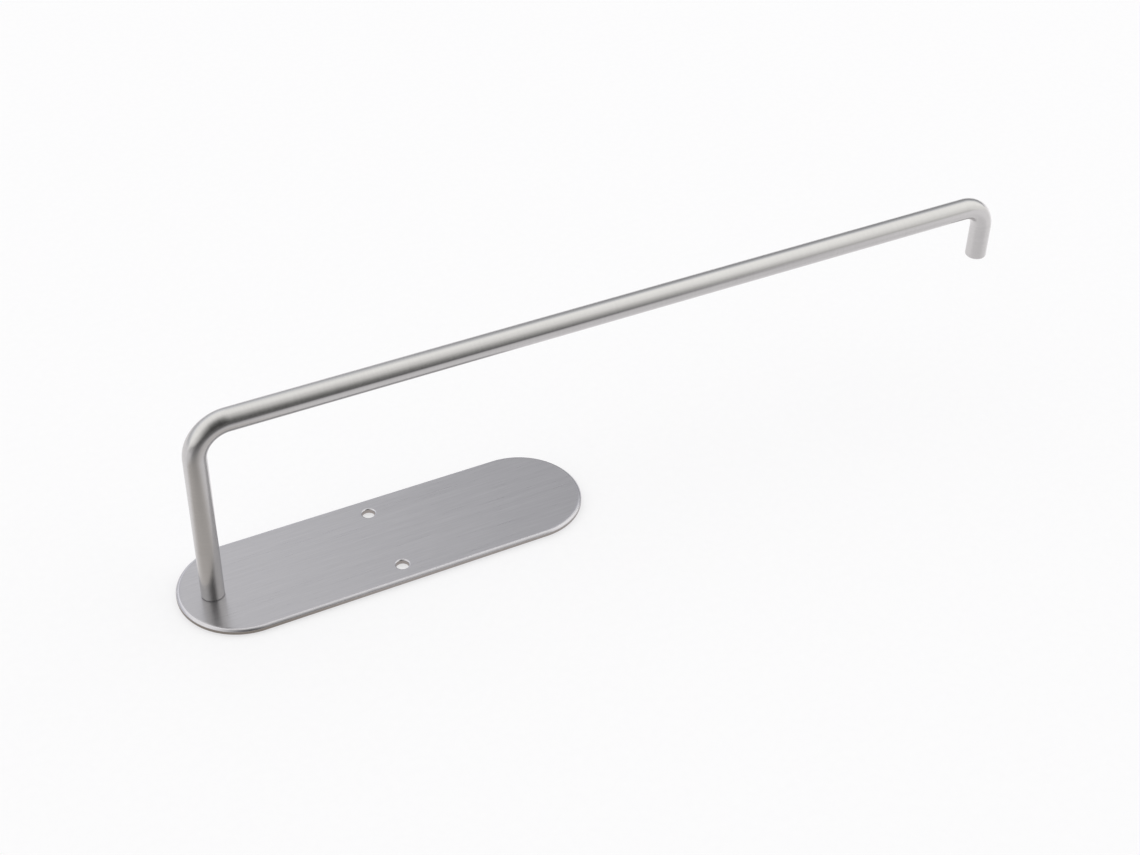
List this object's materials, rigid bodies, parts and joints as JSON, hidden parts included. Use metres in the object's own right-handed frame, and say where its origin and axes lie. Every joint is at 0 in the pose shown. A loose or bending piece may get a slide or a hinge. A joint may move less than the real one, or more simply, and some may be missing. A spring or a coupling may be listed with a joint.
{
  "type": "paper towel holder",
  "caption": "Flat stadium base plate with a round bar that rises from one end, runs level above it and ends in a short down-turned hook.",
  "frame": {"origin": "centre of the mounting face, on the underside of the liner, which is also the centre of the plate's outline", "axes": "+Z away from the surface the holder is fixed to, +X along the bar from the leg to the hook, +Y across the plate"},
  "size_m": [0.328, 0.045, 0.077],
  "materials": {
    "plate_steel": "brushed along its length",
    "bar_steel": "fine satin polish round the bar",
    "screw_steel": "plain bright",
    "pad_foam": "matte foam",
    "liner_film": "glossy film"
  },
  "bodies": {
    "root": {"base_plate": "plate_steel", "towel_bar": "bar_steel", "bar_screw": "screw_steel", "adhesive_pad": "pad_foam", "release_liner": "liner_film"}
  },
  "joints": []
}
